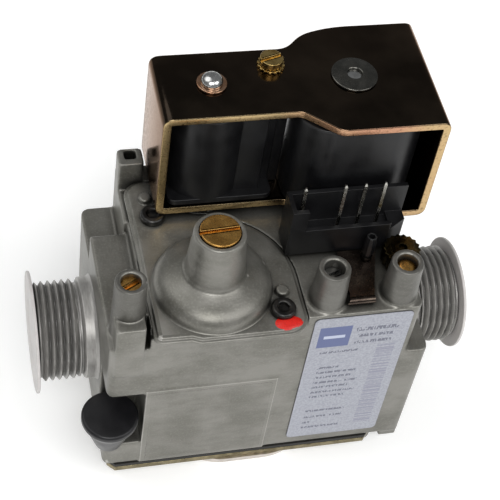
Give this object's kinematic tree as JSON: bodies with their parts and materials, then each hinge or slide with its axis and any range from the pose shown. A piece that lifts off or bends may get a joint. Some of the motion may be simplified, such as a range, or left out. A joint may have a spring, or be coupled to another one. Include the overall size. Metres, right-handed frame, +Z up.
{
  "type": "gas valve",
  "caption": "Die-cast combination gas control: threaded connection at each end, solenoid coils in a bent steel yoke, a domed pressure regulator, test points and a plug-in connector.",
  "frame": {"origin": "centre of the whole box in X and Y, on the lowest face of the pressed bottom cover", "axes": "+X along the two gas connections towards the inlet, +Z up along the coil and regulator axes, -Y towards the rating label"},
  "size_m": [0.116, 0.0692, 0.1069],
  "materials": {
    "cast": "satin die cast",
    "yoke": "dark passivated zinc",
    "brass": "turned",
    "steel": "bright",
    "dark_steel": "blackened",
    "black_plastic": "moulded",
    "rubber": "matt",
    "grey_plastic": "moulded",
    "gold_zinc": "yellow passivated zinc",
    "label": "satin film",
    "copper": "enamelled wire",
    "nylon": "moulded"
  },
  "bodies": {
    "casting": {"valve_body": "cast", "bottom_gasket": "rubber", "bottom_plate": "gold_zinc", "bottom_screw_1": "dark_steel", "bottom_screw_2": "dark_steel", "bottom_screw_3": "dark_steel", "bottom_screw_4": "dark_steel", "inlet_strainer": "steel", "regulator_cover": "cast", "regulator_diaphragm": "rubber", "regulator_spring": "steel", "regulator_cover_screw_rear": "dark_steel", "regulator_cover_screw_front": "dark_steel", "coil_yoke": "yoke", "large_coil_case": "black_plastic", "large_coil_bobbin": "nylon", "large_coil_winding": "copper", "small_coil_case": "black_plastic", "small_coil_bobbin": "nylon", "small_coil_winding": "copper", "large_guide_tube": "steel", "large_tube_seal": "rubber", "large_pole": "steel", "large_plunger_spring": "steel", "small_guide_tube": "steel", "small_tube_seal": "rubber", "small_pole": "steel", "small_plunger_spring": "steel", "large_coil_lock_disc": "yoke", "small_coil_washer": "gold_zinc", "small_coil_cap_nut": "steel", "earth_washer": "gold_zinc", "earth_screw": "gold_zinc", "connector_housing": "black_plastic", "terminal_pin_1": "steel", "terminal_pin_2": "steel", "terminal_pin_3": "steel", "terminal_pin_4": "steel", "connector_screw": "dark_steel", "yoke_clamp_tab": "yoke", "yoke_clamp_screw": "gold_zinc", "rating_label": "label"},
    "outlet_cap": {"outlet_dust_cap": "grey_plastic"},
    "inlet_cap": {"inlet_dust_cap": "grey_plastic"},
    "regulator_valve": {"diaphragm_plate": "steel", "regulator_stem": "brass", "regulator_poppet": "rubber"},
    "adjuster": {"regulator_adjuster": "nylon"},
    "plug_seal": {"regulator_plug_o_ring": "rubber"},
    "plug": {"regulator_plug": "brass"},
    "large_armature": {"large_plunger": "steel", "large_valve_disc": "rubber"},
    "small_armature": {"small_plunger": "steel", "small_valve_disc": "rubber"},
    "inlet_test": {"inlet_test_screw": "brass"},
    "chamber_test": {"chamber_test_screw": "steel"},
    "outlet_test": {"outlet_test_screw": "brass"},
    "adjuster_cap": {"throughput_adjuster_cap": "black_plastic"}
  },
  "joints": [
    {"name": "outlet_cap_pull", "type": "slide", "parent": "casting", "child": "outlet_cap", "axis": [-1, 0, 0], "range_m": [0, 0.02]},
    {"name": "inlet_cap_pull", "type": "slide", "parent": "casting", "child": "inlet_cap", "axis": [1, 0, 0], "range_m": [0, 0.02]},
    {"name": "regulator_lift", "type": "slide", "parent": "casting", "child": "regulator_valve", "axis": [0, 0, 1], "range_m": [-0.0015, 0.0007], "stiffness_N_per_m": 300, "deforming": ["regulator_spring"]},
    {"name": "adjuster_turn", "type": "hinge", "parent": "casting", "child": "adjuster", "pos_m": [-0.015, -0.01642, 0.0816], "axis": [0, 0, 1], "range_deg": [-360, 360]},
    {"name": "plug_rise", "type": "slide", "parent": "casting", "child": "plug_seal", "axis": [0, 0, 1], "range_m": [0, 0.003]},
    {"name": "plug_turn", "type": "hinge", "parent": "plug_seal", "child": "plug", "pos_m": [-0.015, -0.01642, 0.0875], "axis": [0, 0, 1], "range_deg": [0, 1080]},
    {"name": "large_valve_lift", "type": "slide", "parent": "casting", "child": "large_armature", "axis": [0, 0, 1], "range_m": [0, 0.0022], "stiffness_N_per_m": 900, "springref_m": -0.002, "deforming": ["large_plunger_spring"]},
    {"name": "small_valve_lift", "type": "slide", "parent": "casting", "child": "small_armature", "axis": [0, 0, 1], "range_m": [0, 0.0018], "stiffness_N_per_m": 700, "springref_m": -0.002, "deforming": ["small_plunger_spring"]},
    {"name": "inlet_test_turn", "type": "hinge", "parent": "casting", "child": "inlet_test", "pos_m": [0.0314, -0.02352, 0.072], "axis": [0, 0, 1], "range_deg": [0, 360]},
    {"name": "chamber_test_turn", "type": "hinge", "parent": "casting", "child": "chamber_test", "pos_m": [0.0129, -0.02332, 0.074], "axis": [0, 0, 1], "range_deg": [0, 360]},
    {"name": "outlet_test_turn", "type": "hinge", "parent": "casting", "child": "outlet_test", "pos_m": [-0.0367, -0.02253, 0.073], "axis": [0, 0, 1], "range_deg": [0, 360]},
    {"name": "throughput_turn", "type": "hinge", "parent": "casting", "child": "adjuster_cap", "pos_m": [-0.0403, -0.02712, 0.024], "axis": [0, 0, 1], "range_deg": [-150, 150]}
  ],
  "couplings": [
    {"joint": "plug_turn", "follows": "plug_rise", "rad_per_m": 6283.2}
  ]
}
